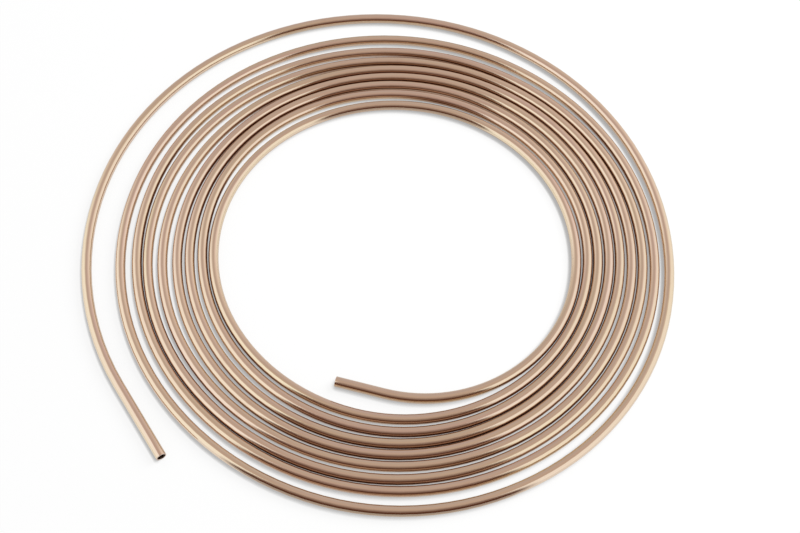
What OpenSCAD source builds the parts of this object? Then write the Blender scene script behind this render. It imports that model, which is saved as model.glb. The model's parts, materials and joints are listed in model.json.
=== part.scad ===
// Coil of copper-nickel tube: one seamless tube wound into a loose flat spiral.
// The route is a chain of tangent bends, eight to a turn, with a straight tail at each end.
// It starts at the inner end and winds outward anticlockwise, lying flat on its side.

/* [Tube] */
// Outside diameter of the tube
tube_od = 6.35; // [4:0.05:10]
// Thickness of the tube's wall
tube_wall = 0.71; // [0.5:0.01:1.2]

/* [Coil] */
// Radius of the innermost turn, on the tube's centre line
eye_radius = 113; // [90:1:150]
// Clear gap between turns that lie side by side
lay_gap = 0.3; // [0.3:0.05:1.5]
// Straight length at the inner end
inner_tail = 30; // [20:1:60]
// Straight length at the outer end
outer_tail = 54; // [20:1:80]

/* [Hidden] */

bore_d = tube_od - 2 * tube_wall;
half = tube_od / 2;
per_turn = 8;                       // bends in one turn
step = 360 / per_turn;              // angle of one bend
step_rad = step * PI / 180;
bends = 71;                         // 8 turns and seven eighths
last = bends - 1;
tube_color = [0.80, 0.62, 0.48];

// Heading of the outer tail, about 41 degrees to the right of +X. As a multiple of the
// 3-4-5 triangle's angle, its sine and cosine both end at the sixth decimal.
outer_heading = 180 - 6 * atan2(3, 4);

// How far the innermost turn departs from a true circle, at each eighth of the turn.
// The first value turns the inner tail in, away from the turn that lies round it.
out_of_round = [-12, 2.5, 3, -1.5, -4, -2, 5, 2];

// How far each turn has sprung away from the turn inside it, beyond the gap of turns side by side.
// One row a turn, from the second turn out, and one value at each eighth of the turn.
sprung = [
    [9.5, 0.5, 0, 2.5, 0.5, 5.5, 0, 0],
    [2, 0, 0, 0.5, 1.5, 0.5, 0, 2.5],
    [0.5, 0, 0, 1.5, 0.5, 0, 0.5, 1.5],
    [0, 0, 0, 1, 0, 0, 3, 2],
    [0, 1, 1.5, 0, 0, 1.5, 4.5, 0],
    [2.5, 0, 1, 0, 0, 3.5, 0, 0],
    [0, 1.5, 2, 0, 5.5, 3, 3, 4.5],
    [3.5, 6.5, 2, 3.5, 13, 13, 18.5, 11],
];
sprung_row = [for (row = sprung) each row];

// Distance from the coil's middle to the centre line's tangent where bend i starts.
// Before the first bend it runs on at the rate of that bend.
function reach(i) =
    i < 0 ? 2 * reach(i + 1) - reach(i + 2)
    : i < per_turn ? eye_radius + out_of_round[i]
    : reach(i - per_turn) + tube_od + lay_gap + sprung_row[min(i - per_turn, len(sprung_row) - 1)];

// Rate at which that distance changes with the heading, by central differences
function slope(i) =
    (8 * (reach(i + 1) - reach(i - 1)) - (reach(i + 2) - reach(i - 2))) / (12 * step_rad);

// Radius of bend i: the distance plus its second rate of change
function bend_radius(i) = (reach(i) + reach(i + 1)) / 2 + (slope(i + 1) - slope(i)) / step_rad;
radii = [for (i = [0:last]) bend_radius(i)];

// Heading where bend i starts, and the unit vectors along the tube and out of the turn there
function heading(i) = i < bends ? step * i : outer_heading;
function along(i) = [cos(heading(i)), sin(heading(i))];
function out(i) = [sin(heading(i)), -cos(heading(i))];

// Centre of each bend, and the points where the bends meet, with the first bend's centre at [0, 0]
centres = [
    for (i = 0, c = [0, 0]; i < bends; c = c + (radii[i] - radii[min(i + 1, last)]) * out(i + 1), i = i + 1) c
];
joints = [for (i = [0:bends]) centres[min(i, last)] + radii[min(i, last)] * out(i)];

// Middle of each cut face, and the box round the whole coil
inner_end = joints[0] - inner_tail * along(0);
outer_end = joints[bends] + outer_tail * along(bends);
corners = concat(
    [for (p = joints) for (s = [-half, half]) p + [s, s]],
    [for (s = [-half, half]) outer_end + s * out(bends)],
    [for (s = [-half, half]) inner_end + s * out(0)]
);
box_low = [min([for (p = corners) p.x]), min([for (p = corners) p.y])];
box_high = [max([for (p = corners) p.x]), max([for (p = corners) p.y])];
middle = (box_low + box_high) / 2;

// Cross-section of the tube
module section() {
    difference() {
        circle(d = tube_od, $fn = 32);
        circle(d = bore_d, $fn = 32);
    }
}

// Moves its children to a point in two steps, whole hundredths and then the rest,
// so that neighbouring bends meet to a millionth of a millimetre.
module place(point) {
    whole = [for (v = point) round(100 * v) / 100];
    translate(whole)
        translate(point - whole)
            children();
}

// A bend about the origin, from its start to the given angle further on
module bend(i, angle) {
    rotate_extrude(start = (heading(i) + 270) % 360, angle = angle, $fn = 96)
        place([radii[i], 0])
            section();
}

// Everything ahead of a line through the origin, square to the outer tail
module ahead_of_tail() {
    reach_all = 4 * eye_radius;
    rotate([0, 0, outer_heading])
        translate([0, -reach_all, -tube_od])
            cube([reach_all, 2 * reach_all, 2 * tube_od]);
}

module turns() {
    for (i = [0:last - 1])
        place([centres[i].x, centres[i].y, 0])
            bend(i, step);
}

// The last bend is a quarter bend cut off where the outer tail starts.
module last_bend() {
    place([centres[last].x, centres[last].y, 0])
        difference() {
            bend(last, 90);
            ahead_of_tail();
        }
}

module inner_straight() {
    place([joints[0].x, joints[0].y, 0])
        rotate([0, -90, 0])
            linear_extrude(inner_tail)
                section();
}

module outer_straight() {
    place([joints[bends].x, joints[bends].y, 0])
        rotate([0, 90, outer_heading])
            linear_extrude(outer_tail)
                section();
}

module tube() {
    color(tube_color)
        translate([-middle.x, -middle.y, half]) {
            inner_straight();
            turns();
            last_bend();
            outer_straight();
        }
}

tube();
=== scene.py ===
"""A loose flat coil of bright drawn copper-nickel tube, lying on a white studio table."""

import json
import math

import bpy
import numpy as np
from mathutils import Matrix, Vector


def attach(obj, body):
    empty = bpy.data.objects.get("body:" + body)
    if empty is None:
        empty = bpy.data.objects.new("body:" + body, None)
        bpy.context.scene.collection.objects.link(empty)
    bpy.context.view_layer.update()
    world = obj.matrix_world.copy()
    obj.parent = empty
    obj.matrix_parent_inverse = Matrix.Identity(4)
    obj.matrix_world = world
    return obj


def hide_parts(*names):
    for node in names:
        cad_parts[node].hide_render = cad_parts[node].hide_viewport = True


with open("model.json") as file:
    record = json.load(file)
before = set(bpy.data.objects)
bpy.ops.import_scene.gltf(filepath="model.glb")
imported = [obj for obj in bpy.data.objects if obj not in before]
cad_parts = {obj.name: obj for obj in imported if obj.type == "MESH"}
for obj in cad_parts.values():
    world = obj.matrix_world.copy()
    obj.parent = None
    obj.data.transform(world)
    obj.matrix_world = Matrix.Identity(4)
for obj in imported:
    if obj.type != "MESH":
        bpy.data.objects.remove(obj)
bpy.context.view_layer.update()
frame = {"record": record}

MM = 0.001

# ---------------------------------------------------------------- sizes of the tube and its coil
# Those that the frame doesn't hold repeat the values of the part's source.
MOUNTS = {mount["name"]: mount for mount in frame["record"]["mounts"]}
TUBE_RADIUS = MOUNTS["inner_end"]["dims"]["r_mm"] * MM
TUBE_WALL = 0.71 * MM
BORE_RADIUS = TUBE_RADIUS - TUBE_WALL
INNER_TAIL = MOUNTS["inner_end"]["dims"]["length_mm"] * MM
OUTER_TAIL = MOUNTS["outer_end"]["dims"]["length_mm"] * MM
EYE_RADIUS = 113 * MM
LAY_GAP = 0.3 * MM              # clear gap between turns that lie side by side

PER_TURN = 8                    # bends in one turn
BENDS = 71
STEP = 2 * math.pi / PER_TURN
OUTER_HEADING = math.pi - 6 * math.atan2(3, 4)      # of the outer tail, the inner one's being 0

# Departure of the innermost turn from a circle, at each eighth of the turn, in millimetres
OUT_OF_ROUND = (-12, 2.5, 3, -1.5, -4, -2, 5, 2)

# How far each turn has sprung away from the turn inside it, in millimetres
SPRUNG = (
    (9.5, 0.5, 0, 2.5, 0.5, 5.5, 0, 0),
    (2, 0, 0, 0.5, 1.5, 0.5, 0, 2.5),
    (0.5, 0, 0, 1.5, 0.5, 0, 0.5, 1.5),
    (0, 0, 0, 1, 0, 0, 3, 2),
    (0, 1, 1.5, 0, 0, 1.5, 4.5, 0),
    (2.5, 0, 1, 0, 0, 3.5, 0, 0),
    (0, 1.5, 2, 0, 5.5, 3, 3, 4.5),
    (3.5, 6.5, 2, 3.5, 13, 13, 18.5, 11),
)

# ---------------------------------------------------------------- what the looks add to it
EDGE_BREAK = 0.12 * MM                      # radius left on the cut ends by deburring
# painted red-brown shade on the flanks that face a close neighbouring turn
GROOVE_SHADE_FULL, GROOVE_SHADE_ENDS = 0.4 * MM, 2.6 * MM     # gap to a neighbour at which the painted shade on a flank is full, and none at all
GROOVE_SHADE_CORE, GROOVE_SHADE_TOP = 0.93, 0.70              # cosine of a flank's angle off the neighbour, likewise
SIDES = 48                                  # points round the tube
RINGS_PER_BEND, RINGS_PER_TAIL = 15, 6
BORE_EVERY = 2                              # the bore has a ring at every second one of the wall's
DRAWN, CUT, INSIDE = range(3)               # numbers of the tube's three finishes


# ---------------------------------------------------------------- the route of the centre line
def reaches():
    """Distance from the coil's middle to the tangent at each eighth of a turn, from two
    eighths before the first bend to two after the last. Each turn's distances are those of the
    turn inside it plus the tube, the gap of turns side by side and what the turn has sprung."""
    first = EYE_RADIUS + np.array(OUT_OF_ROUND) * MM
    pitch = 2 * TUBE_RADIUS + LAY_GAP + np.array(SPRUNG) * MM
    spiral = np.cumsum(np.vstack([first, pitch]), axis=0).ravel()
    beyond = spiral[-PER_TURN:-PER_TURN + 2] + pitch[-1, -1]
    before = spiral[0] + (spiral[0] - spiral[1]) * np.array([2, 1])
    return np.concatenate([before, spiral, beyond])


def bend_radii():
    """Radius of each bend: the mean distance over it plus the second rate of change of that
    distance with the heading, where the rate is the central difference of four neighbours."""
    p = reaches()
    rate = (8 * (p[3:-1] - p[1:-3]) - (p[4:] - p[:-4])) / (12 * STEP)
    middle = p[2:-2]
    return ((middle[1:] + middle[:-1]) / 2 + np.diff(rate) / STEP)[:BENDS]


def out_of_turn(heading):
    """Unit vectors square to the heading, pointing out of the turn: (sin h, -cos h)."""
    return np.stack([np.sin(heading), -np.cos(heading)], axis=-1)


def along_tube(heading):
    """Unit vectors along the heading: (cos h, sin h)."""
    return np.stack([np.cos(heading), np.sin(heading)], axis=-1)


def route():
    """Centre line as rings: points, headings and distances from the inner end.
    Bend i is a circular arc, point = centre_i + radius_i * (sin h, -cos h), and centre_i+1 is
    centre_i moved by the change of radius along the normal that both share."""
    radii = bend_radii()
    starts = STEP * np.arange(BENDS)
    ends = np.append(starts[1:], starts[-1] + (OUTER_HEADING - starts[-1]) % (2 * math.pi))
    shared = out_of_turn(ends[:-1]) * (radii[:-1] - radii[1:])[:, None]
    centres = np.vstack([[0, 0], np.cumsum(shared, axis=0)])

    share = np.arange(RINGS_PER_BEND) / RINGS_PER_BEND
    heading = (starts[:, None] + (ends - starts)[:, None] * share).ravel()
    bend = np.repeat(np.arange(BENDS), RINGS_PER_BEND)
    points = centres[bend] + radii[bend, None] * out_of_turn(heading)
    last_point = centres[-1] + radii[-1] * out_of_turn(ends[-1])

    tail = np.linspace(0, 1, RINGS_PER_TAIL + 1)
    inner = points[0] - along_tube(0.0) * (INNER_TAIL * (1 - tail[:-1]))[:, None]
    outer = last_point + along_tube(ends[-1]) * (OUTER_TAIL * tail)[:, None]
    points = np.vstack([inner, points, outer])
    heading = np.concatenate([np.zeros(RINGS_PER_TAIL), heading, np.full(len(outer), ends[-1])])
    length = np.append(0, np.cumsum(np.linalg.norm(np.diff(points, axis=0), axis=1)))
    return points, heading, length


def clearances(heading):
    """Clear gaps to the turn outside and to the turn inside at each heading: how much the
    distances of `reaches` grow in the turn that starts there and in the one that ends there,
    less the tube. Where there is no such turn the gap counts as a metre."""
    p = reaches()
    at = STEP * (np.arange(len(p)) - 2)
    gap = p[PER_TURN:] - p[:-PER_TURN] - 2 * TUBE_RADIUS
    outside = np.interp(heading, at[:-PER_TURN], gap, right=1.0)
    inside = np.interp(heading, at[PER_TURN:], gap, left=1.0)
    return outside, inside


def centred(points):
    """The points moved so that the open inner end lies on its mount, which fixes the frame."""
    mount = MOUNTS["inner_end"]
    open_end = np.array(mount["pos_m"][:2]) + np.array(mount["axis"][:2]) * INNER_TAIL / 2
    return points + (open_end - points[0])


# ---------------------------------------------------------------- the tube's mesh
def end_profile():
    """Section through a cut end, from the outer wall over the face to the bore, as rows of
    (distance past the end, radius): two quarter circles of EDGE_BREAK and the flat between,
    with a ring close inside each edge of the flat so that it shades flat."""
    turn = np.radians([0, 30, 60, 90])
    rise, fall = EDGE_BREAK * (np.sin(turn) - 1), EDGE_BREAK * (1 - np.cos(turn))
    outer = np.stack([rise, TUBE_RADIUS - fall], axis=1)
    inner = np.stack([rise, BORE_RADIUS + fall], axis=1)[::-1]
    close = EDGE_BREAK / 6
    flat = np.array([[0, outer[-1, 1] - close], [0, inner[0, 1] + close]])
    return np.vstack([outer, flat, inner])


def tube_rings():
    """Every ring of the closed surface in order: out along the outer wall, over the outer
    end's face, back along the bore and over the inner end's face to the first ring.
    Returns centres, headings, distances along the tube, radii and the finish of the strip
    that follows each ring."""
    points, heading, length = route()
    points = centred(points)
    face = end_profile()

    def stretch(chosen, radius):
        return points[chosen], heading[chosen], length[chosen], np.full(len(chosen), radius)

    def cut_end(end, outward):
        shift = outward * face[:, 0]
        centre = points[end] + shift[:, None] * along_tube(heading[end])
        return centre, np.full(len(face), heading[end]), length[end] + shift, face[:, 1]

    between = np.arange(1, len(points) - 1)
    wall = stretch(between, TUBE_RADIUS)
    outer_end = cut_end(-1, 1)
    bore = stretch(between[::-BORE_EVERY], BORE_RADIUS)
    inner_end = [values[::-1] for values in cut_end(0, -1)]
    rings = [np.concatenate(values) for values in zip(wall, outer_end, bore, inner_end)]
    strips = (len(wall[0]), len(face) - 1, len(bore[0]) + 1, len(face) - 1, 1)
    return (*rings, np.repeat([DRAWN, CUT, INSIDE, CUT, DRAWN], strips))


def eased(start, end, value):
    """0 at start and 1 at end, t * t * (3 - 2 t) between."""
    t = np.clip((value - start) / (end - start), 0, 1)
    return t * t * (3 - 2 * t)


def closed_quads(rings, sides):
    """Corner numbers of the quads of a grid that closes on itself both ways, last to first."""
    ring = np.arange(rings)[:, None] * sides
    after_ring = (np.arange(rings)[:, None] + 1) % rings * sides
    side = np.arange(sides)
    after_side = (side + 1) % sides
    quads = [ring + side, ring + after_side, after_ring + after_side, after_ring + side]
    return np.stack(quads, axis=2).reshape(-1, 4)


def tube_piece():
    """The tube as a grid of points: centre + radius * (cos a * out + sin a * up), closed both
    round the ring and from the last ring to the first. Two attributes go with it. 'straightened'
    is each point's place on the tube pulled straight: (distance along, radius cos a, radius
    sin a). The other is painted shade between turns: near a turn that is close, on the flank
    that faces it, each eased from none to full."""
    centre, heading, length, radius, finish = tube_rings()
    angle = 2 * math.pi * np.arange(SIDES) / SIDES
    across = radius[:, None] * np.cos(angle)
    upward = radius[:, None] * np.sin(angle)
    plan = centre[:, None, :] + across[:, :, None] * out_of_turn(heading)[:, None, :]
    grid = np.concatenate([plan, (TUBE_RADIUS + upward)[:, :, None]], axis=2)
    straight = np.stack([np.broadcast_to(length[:, None], across.shape), across, upward], axis=2)
    # painted shade between turns, on the flank that faces a close neighbour
    outside, inside = (eased(GROOVE_SHADE_ENDS, GROOVE_SHADE_FULL, gap)[:, None] for gap in clearances(heading))
    painted_groove_shade = (outside * eased(GROOVE_SHADE_TOP, GROOVE_SHADE_CORE, np.cos(angle))
              + inside * eased(GROOVE_SHADE_TOP, GROOVE_SHADE_CORE, -np.cos(angle)))
    return (grid.reshape(-1, 3), closed_quads(len(centre), SIDES), np.repeat(finish, SIDES),
            straight.reshape(-1, 3), painted_groove_shade.ravel())


def mesh_object(name, points, quads, materials, finish=None, smooth=True):
    """A mesh from arrays of points and quads, with one material index a quad."""
    mesh = bpy.data.meshes.new(name)
    mesh.from_pydata(points.tolist(), [], quads.tolist())
    for material in materials:
        mesh.materials.append(material)
    if finish is not None:
        mesh.polygons.foreach_set("material_index", finish.astype(np.int32))
    mesh.polygons.foreach_set("use_smooth", np.full(len(quads), smooth))
    piece = bpy.data.objects.new(name, mesh)
    bpy.context.scene.collection.objects.link(piece)
    return piece


def add_attribute(piece, name, values):
    """One number or one vector a point, for the materials to read."""
    kind, field = ("FLOAT", "value") if values.ndim == 1 else ("FLOAT_VECTOR", "vector")
    attribute = piece.data.attributes.new(name, kind, "POINT")
    attribute.data.foreach_set(field, values.astype(np.float32).ravel())


# ---------------------------------------------------------------- making materials
def new_material(name):
    """A material with no nodes yet, and its tree."""
    material = bpy.data.materials.new(name)
    material.use_nodes = True
    material.node_tree.nodes.clear()
    return material, material.node_tree


def node(tree, kind, inputs=None, **settings):
    """Adds a node. Inputs are given by socket name or number, as a value or as the socket
    that feeds it, and settings are the node's own properties."""
    made = tree.nodes.new(kind)
    for name, value in settings.items():
        setattr(made, name, value)
    for key, value in (inputs or {}).items():
        if isinstance(value, bpy.types.NodeSocket):
            tree.links.new(value, made.inputs[key])
        else:
            made.inputs[key].default_value = value
    return made


def maths(tree, operation, *values, **settings):
    """The result of a Math node, from numbers or the sockets that give them."""
    made = node(tree, "ShaderNodeMath", dict(enumerate(values)), operation=operation, **settings)
    return made.outputs[0]


def spread(tree, value, low, high):
    """The socket's 0 to 1 laid over low to high."""
    return maths(tree, "MULTIPLY_ADD", value, high - low, low)


def mix_colours(tree, share, first, second):
    """first + (second - first) * share, each a colour or the socket of one."""
    ends = [end if isinstance(end, bpy.types.NodeSocket) else (*end, 1) for end in (first, second)]
    return node(tree, "ShaderNodeMix", {0: share, 6: ends[0], 7: ends[1]}, data_type="RGBA").outputs[2]


def new_group(name, inputs, output):
    """A node group with vector or number inputs, given with their defaults, and one number out.
    Returns the group, its input sockets by name and its output node."""
    group = bpy.data.node_groups.new(name, "ShaderNodeTree")
    for socket, default in inputs.items():
        kind = "NodeSocketFloat" if isinstance(default, float) else "NodeSocketVector"
        made = group.interface.new_socket(socket, in_out="INPUT", socket_type=kind)
        made.default_value = default
    group.interface.new_socket(output, in_out="OUTPUT", socket_type="NodeSocketFloat")
    return group, node(group, "NodeGroupInput").outputs, node(group, "NodeGroupOutput")


def effect(tree, group, **values):
    """The result of a node group placed in a material with its own values."""
    return node(tree, "ShaderNodeGroup", values, node_tree=group).outputs[0]


def stretched_noise(tree, place, sizes, detail, roughness):
    """Noise of place / sizes, each coordinate by its own size."""
    size = node(tree, "ShaderNodeCombineXYZ", dict(enumerate(sizes)))
    scaled = node(tree, "ShaderNodeVectorMath", {0: place, 1: size.outputs[0]}, operation="DIVIDE")
    return node(tree, "ShaderNodeTexNoise", {
        "Vector": scaled.outputs[0], "Scale": 1, "Detail": detail, "Roughness": roughness}).outputs[0]


def drawing_marks():
    """Streaks left by a die or a saw: noise of Place / (Length, Width, Width), where the first
    coordinate of Place runs along the streak, spread about its middle by Contrast."""
    group, given, out = new_group("Drawing Marks", {
        "Place": (0, 0, 0), "Length": 0.1, "Width": 0.001, "Contrast": 1.0}, "Mark")
    sizes = given["Length"], given["Width"], given["Width"]
    noise = stretched_noise(group, given["Place"], sizes, detail=3, roughness=0.6)
    off_middle = maths(group, "SUBTRACT", noise, 0.5)
    mark = maths(group, "MULTIPLY_ADD", off_middle, given["Contrast"], 0.5, use_clamp=True)
    group.links.new(mark, out.inputs[0])
    return group


def tarnish_patches():
    """Patches where the metal has dulled: noise of Place / Size, 0 below 1 - Share and rising
    to 1 over a quarter of its range."""
    group, given, out = new_group("Tarnish Patches", {
        "Place": (0, 0, 0), "Size": 0.02, "Share": 0.45}, "Patch")
    noise = stretched_noise(group, given["Place"], [given["Size"]] * 3, detail=4, roughness=0.55)
    start = maths(group, "SUBTRACT", 1.0, given["Share"])
    end = maths(group, "ADD", start, 0.25)
    patch = node(group, "ShaderNodeMapRange", {"Value": noise, "From Min": start, "From Max": end},
                 interpolation_type="SMOOTHSTEP")
    group.links.new(patch.outputs[0], out.inputs[0])
    return group


# ---------------------------------------------------------------- the finishes of the tube
PINK, YELLOW = (0.770, 0.588, 0.482), (0.785, 0.645, 0.455)     # tints that the wall wanders between
STREAKED, HANDLED = (0.69, 0.49, 0.37), (0.66, 0.46, 0.34)      # in a die streak, and dulled by hands
GROOVE_SHADE_COLOUR = (0.33, 0.17, 0.10)                                    # painted shade on a flank where a neighbouring turn lies close
SAWN, SAW_LINE, SAWN_DULL = (0.94, 0.82, 0.74), (0.84, 0.70, 0.60), (0.70, 0.52, 0.42)      # cut faces
BORE, BORE_STREAK, OXIDE = (0.20, 0.13, 0.09), (0.12, 0.075, 0.05), (0.07, 0.04, 0.03)      # the bore, darkened past the metal's own colour as painted shade inside the tube


def place_on_tube(tree):
    """Where a point is on the tube pulled straight, in metres: along it first."""
    return node(tree, "ShaderNodeAttribute", attribute_name="straightened").outputs["Vector"]


def bare_metal(tree, colour, roughness, relief, strength, depth):
    """Makes the material bare metal. Its relief is as high as depth, in metres, and shades as
    much as strength says, from 0 to 1."""
    bump = node(tree, "ShaderNodeBump", {"Strength": strength, "Distance": depth, "Height": relief})
    metal = node(tree, "ShaderNodeBsdfPrincipled", {
        "Base Color": colour, "Metallic": 1.0, "Roughness": roughness, "Normal": bump.outputs[0]})
    node(tree, "ShaderNodeOutputMaterial", {"Surface": metal.outputs[0]})


def drawn_metal(marks, patches):
    """Bright drawn copper-nickel. Its tint wanders between pink and yellow along the tube,
    die streaks run lengthwise in its polish and relief, handling has dulled patches, and the
    flanks that lie against a neighbouring turn carry painted red-brown shade."""
    material, tree = new_material("drawn copper-nickel")
    place = place_on_tube(tree)
    tint = effect(tree, marks, Place=place, Length=200 * MM, Width=3.5 * MM, Contrast=2.8)
    streak = effect(tree, marks, Place=place, Length=120 * MM, Width=0.9 * MM, Contrast=1.9)
    scratch = effect(tree, marks, Place=place, Length=25 * MM, Width=0.16 * MM, Contrast=1.6)
    patch = effect(tree, patches, Place=place, Size=22 * MM, Share=0.45)
    painted_groove_shade = node(tree, "ShaderNodeAttribute", attribute_name="painted_groove_shade").outputs["Fac"]

    clean = mix_colours(tree, tint, PINK, YELLOW)
    drawn = mix_colours(tree, spread(tree, streak, 0.0, 0.22), clean, STREAKED)
    handled = mix_colours(tree, spread(tree, patch, 0.0, 0.35), drawn, HANDLED)
    # painted shade on the flanks that face a close turn
    groove_shade_share = maths(tree, "MULTIPLY", painted_groove_shade, spread(tree, streak, 0.75, 0.95))
    colour = mix_colours(tree, groove_shade_share, handled, GROOVE_SHADE_COLOUR)
    roughness = maths(tree, "MULTIPLY_ADD", patch, 0.07, spread(tree, streak, 0.08, 0.16))
    relief = maths(tree, "MULTIPLY_ADD", scratch, 0.25, streak)
    bare_metal(tree, colour, roughness, relief, strength=0.35, depth=0.03 * MM)
    return material


def cut_metal(marks, patches):
    """The sawn and deburred end faces: fresh metal, with the saw's fine lines up and down."""
    material, tree = new_material("sawn copper-nickel")
    apart = node(tree, "ShaderNodeSeparateXYZ", {0: place_on_tube(tree)}).outputs
    upright = node(tree, "ShaderNodeCombineXYZ", {0: apart[2], 1: apart[1], 2: apart[0]}).outputs[0]
    line = effect(tree, marks, Place=upright, Length=6 * MM, Width=0.12 * MM, Contrast=2.2)
    patch = effect(tree, patches, Place=upright, Size=1.5 * MM, Share=0.4)

    sawn = mix_colours(tree, line, SAWN, SAW_LINE)
    colour = mix_colours(tree, spread(tree, patch, 0.0, 0.3), sawn, SAWN_DULL)
    roughness = spread(tree, line, 0.48, 0.62)
    bare_metal(tree, colour, roughness, line, strength=0.5, depth=0.03 * MM)
    return material


def bore_metal(marks, patches):
    """The inside of the tube: drawn over a plug, unpolished, with brown oxide in patches, and darkened
    all over as painted shade deep inside the bore.
    """
    material, tree = new_material("dull bore")
    place = place_on_tube(tree)
    streak = effect(tree, marks, Place=place, Length=40 * MM, Width=0.5 * MM, Contrast=2.0)
    patch = effect(tree, patches, Place=place, Size=6 * MM, Share=0.5)

    drawn = mix_colours(tree, streak, BORE, BORE_STREAK)
    colour = mix_colours(tree, spread(tree, patch, 0.0, 0.7), drawn, OXIDE)
    roughness = maths(tree, "MULTIPLY_ADD", patch, 0.15, spread(tree, streak, 0.38, 0.50))
    bare_metal(tree, colour, roughness, streak, strength=0.4, depth=0.04 * MM)
    return material


# ---------------------------------------------------------------- the studio
# Its places are metres across, away from the camera and up, turned with the camera's azimuth.
VIEW_TURN = math.radians(15.0)
CAMERA_AIM = (18.7 * MM, -19.7 * MM, TUBE_RADIUS)   # in the part's own frame
CAMERA_DISTANCE = 0.7243                            # metres from there
CAMERA_ELEVATION = math.radians(61.4)
CAMERA_LENS, CAMERA_FILM = 51.5, 36                 # focal length and film width, in millimetres

KEY_PLACE = (1.0, 0.5, 0.9)
KEY_SIZE = 0.8                  # metres, each way
KEY_POWER = 13                  # watts
AMBIENT = 0.6                   # level of the light from all round

TABLE_REACH = 12.0              # metres from the middle to each side
TABLE_WHITE = 0.20              # the table's own colour
TABLE_GLOW = 0.82               # what it adds where the camera or the metal sees it
GLOW_UNDER = 0.45               # share of the glow that stays close under the tube
CONTACT = 3.2 * MM              # how far from the tube the rest of it is held back
SHADE_FROM = (1.0, 0.3, 0.15)   # the side whose openness the glow follows
SHADED, CLEAR = 0.55, 0.93      # openness at which the glow is least and full
TABLE_SHEEN = 0.60              # how much of the tent the table hands on to the metal
POLISH = (0.85, 0.85, 0.85, 1)  # and the colour it gives it

# Cloths of the light tent that the metal mirrors. Each row is a compass bearing in degrees
# turned right from straight behind the coil, the cloth's red, green and blue there, and the
# heights in degrees between which it gives way to the top cloth.
TENT = np.array((
    (0, 0.60, 0.54, 0.54, 52, 80),
    (30, 0.77, 0.68, 0.66, 50, 76),
    (45, 0.95, 0.88, 0.87, 50, 68),
    (62, 1.08, 1.09, 1.09, 53, 62),
    (140, 1.12, 1.15, 1.15, 55, 63),
    (146, 0.115, 0.048, 0.030, 26, 84),
    (227, 0.115, 0.048, 0.030, 26, 84),
    (232, 1.18, 1.24, 1.24, 57, 65),
    (296, 1.14, 1.18, 1.18, 55, 63),
    (315, 0.74, 0.66, 0.64, 50, 68),
    (332, 0.60, 0.54, 0.53, 50, 76),
    (360, 0.60, 0.54, 0.54, 52, 80),
))
TOP_CLOTH = np.array((0.63, 0.53, 0.49))
TENT_RADIUS = 1.6               # metres


def studio_point(x, y, z):
    """A point given across, away from the camera and up, turned with the studio."""
    c, s = math.cos(VIEW_TURN), math.sin(VIEW_TURN)
    return (c * x - s * y, s * x + c * y, z)


def looks_from(tree):
    """Two sockets: 1 for what the metal mirrors, and 1 for what it mirrors or the camera sees."""
    path = node(tree, "ShaderNodeLightPath").outputs
    mirrored = maths(tree, "MAXIMUM", path["Is Glossy Ray"], path["Is Transmission Ray"])
    return mirrored, maths(tree, "MAXIMUM", mirrored, path["Is Camera Ray"])


def table_material():
    """White paper that glows, less so where the tube closes it in on the side of SHADE_FROM,
    and is polished enough that the metal finds the tent again in it."""
    material, tree = new_material("white table")
    mirrored, seen = looks_from(tree)
    side = Vector(studio_point(*SHADE_FROM)).normalized()
    facing = node(tree, "ShaderNodeCombineXYZ", dict(enumerate(side)))
    openness = node(tree, "ShaderNodeAmbientOcclusion", {
        "Distance": CONTACT, "Normal": facing.outputs[0]}, samples=16).outputs["AO"]
    near = node(tree, "ShaderNodeMapRange", {
        "Value": openness, "From Min": SHADED, "From Max": CLEAR, "To Min": GLOW_UNDER})
    glow = maths(tree, "MULTIPLY", maths(tree, "MULTIPLY", near.outputs[0], seen), TABLE_GLOW)
    paper = node(tree, "ShaderNodeBsdfPrincipled", {
        "Base Color": (TABLE_WHITE, TABLE_WHITE, TABLE_WHITE, 1), "Roughness": 0.9,
        "Specular IOR Level": 0, "Emission Color": (1, 1, 1, 1), "Emission Strength": glow})
    polish = node(tree, "ShaderNodeBsdfAnisotropic", {"Color": POLISH, "Roughness": 0.1})
    open_mirror = maths(tree, "MULTIPLY", maths(tree, "POWER", openness, 2.0), mirrored)
    share = maths(tree, "MULTIPLY", open_mirror, TABLE_SHEEN)
    table = node(tree, "ShaderNodeMixShader", {0: share, 1: paper.outputs[0], 2: polish.outputs[0]})
    node(tree, "ShaderNodeOutputMaterial", {"Surface": table.outputs[0]})
    return material


def white_table():
    """The table, one flat square at height 0."""
    signs = ((-1, -1), (1, -1), (1, 1), (-1, 1))
    corners = np.array([(x * TABLE_REACH, y * TABLE_REACH, 0) for x, y in signs])
    mesh_object("table", corners, np.array([[0, 1, 2, 3]]), [table_material()], smooth=False)


def tent_colours(bearing, height):
    """Cloth seen at a bearing and a height in degrees: wall + (top - wall) * share, with the
    wall colour and both heights interpolated between the rows of TENT, and the share rising
    evenly from 0 at the first height to 1 at the second."""
    row = [np.interp(bearing, TENT[:, 0], TENT[:, k]) for k in range(1, 6)]
    wall = np.stack(row[:3], axis=-1)
    share = np.clip((height - row[3]) / (row[4] - row[3]), 0, 1)[..., None]
    return wall + (TOP_CLOTH - wall) * share


def tent_cloth():
    """Cloth that shows the colours of its attribute, and that the renderer samples as no lamp."""
    material, tree = new_material("tent cloth")
    cloth = node(tree, "ShaderNodeAttribute", attribute_name="cloth")
    light = node(tree, "ShaderNodeEmission", {"Color": cloth.outputs["Color"]})
    node(tree, "ShaderNodeOutputMaterial", {"Surface": light.outputs[0]})
    material.cycles.emission_sampling = "NONE"
    return material


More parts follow.
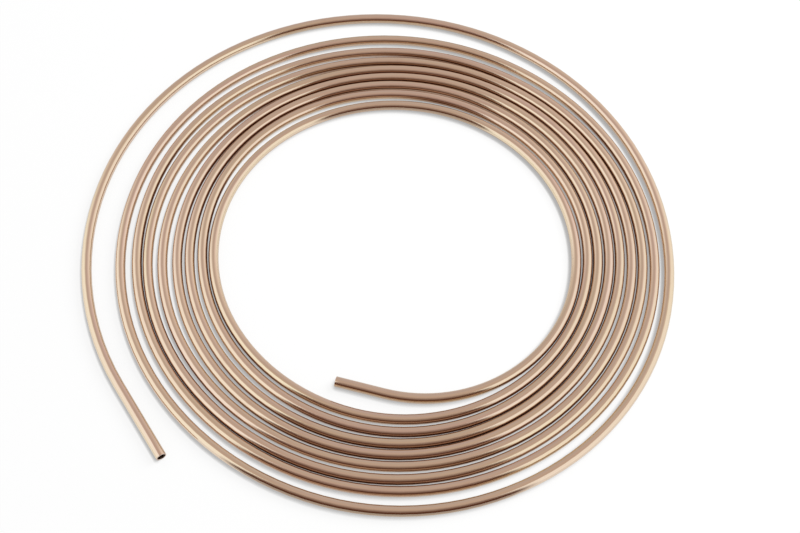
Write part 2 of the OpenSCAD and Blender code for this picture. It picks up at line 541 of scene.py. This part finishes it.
def light_tent(across=180, up=45):
    """Half a sphere of cloth round the coil: radius * (sin b cos h, cos b cos h, sin h). It
    is seen in reflections only, so that it neither shades nor hides anything."""
    bearing, height = np.meshgrid(np.linspace(0, 360, across + 1), np.linspace(0, 90, up + 1))
    b, h = np.radians(bearing), np.radians(height)
    sphere = np.sin(b) * np.cos(h), np.cos(b) * np.cos(h), np.sin(h)
    points = np.stack(studio_point(*(TENT_RADIUS * part for part in sphere)), axis=-1).reshape(-1, 3)
    corner = np.arange(up)[:, None] * (across + 1) + np.arange(across)
    quads = [corner, corner + 1, corner + across + 2, corner + across + 1]
    tent = mesh_object("light tent", points, np.stack(quads, axis=-1).reshape(-1, 4), [tent_cloth()])
    shade = tent.data.color_attributes.new("cloth", "FLOAT_COLOR", "POINT")
    colours = np.concatenate([tent_colours(bearing, height), np.ones(bearing.shape + (1,))], axis=-1)
    shade.data.foreach_set("color", colours.astype(np.float32).ravel())
    tent.visible_camera = False
    tent.visible_diffuse = False
    tent.visible_transmission = False
    tent.visible_shadow = False


def world_light():
    """White air: full white where the camera or the metal looks into it, AMBIENT elsewhere."""
    world = bpy.data.worlds.new("studio air")
    bpy.context.scene.world = world
    world.use_nodes = True
    tree = world.node_tree
    tree.nodes.clear()
    seen = looks_from(tree)[1]
    level = maths(tree, "MAXIMUM", seen, AMBIENT)
    air = node(tree, "ShaderNodeBackground", {"Color": (1, 1, 1, 1), "Strength": level})
    node(tree, "ShaderNodeOutputWorld", {"Surface": air.outputs[0]})


def key_lamp():
    """A square area lamp that faces the middle of the coil. The metal doesn't mirror it."""
    data = bpy.data.lights.new("key", "AREA")
    data.shape = "SQUARE"
    data.size = KEY_SIZE
    data.energy = KEY_POWER
    lamp = bpy.data.objects.new("key", data)
    bpy.context.scene.collection.objects.link(lamp)
    lamp.location = studio_point(*KEY_PLACE)
    lamp.rotation_euler = (-lamp.location).to_track_quat("-Z", "Y").to_euler()
    lamp.visible_glossy = False


def camera():
    """Looks down at CAMERA_AIM from CAMERA_DISTANCE away, on a slope of CAMERA_ELEVATION."""
    data = bpy.data.cameras.new("camera")
    data.sensor_width = CAMERA_FILM
    data.lens = CAMERA_LENS
    data.clip_start = 10 * MM
    eye = bpy.data.objects.new("camera", data)
    bpy.context.scene.collection.objects.link(eye)
    back = Vector(studio_point(0, -math.cos(CAMERA_ELEVATION), math.sin(CAMERA_ELEVATION)))
    eye.location = Vector(CAMERA_AIM) + back * CAMERA_DISTANCE
    eye.rotation_euler = (-back).to_track_quat("-Z", "Y").to_euler()
    bpy.context.scene.camera = eye


# ---------------------------------------------------------------- the scene
camera()
white_table()
light_tent()
world_light()
key_lamp()

points, quads, finish, straight, painted_groove_shade = tube_piece()
effects = drawing_marks(), tarnish_patches()
tube = mesh_object("copper_nickel_tube", points, quads,
                   [drawn_metal(*effects), cut_metal(*effects), bore_metal(*effects)], finish)
add_attribute(tube, "straightened", straight)
# painted shade between turns, read by the wall's colour
add_attribute(tube, "painted_groove_shade", painted_groove_shade)
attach(tube, "root")
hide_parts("tube")

bpy.context.scene.view_settings.view_transform = "Standard"
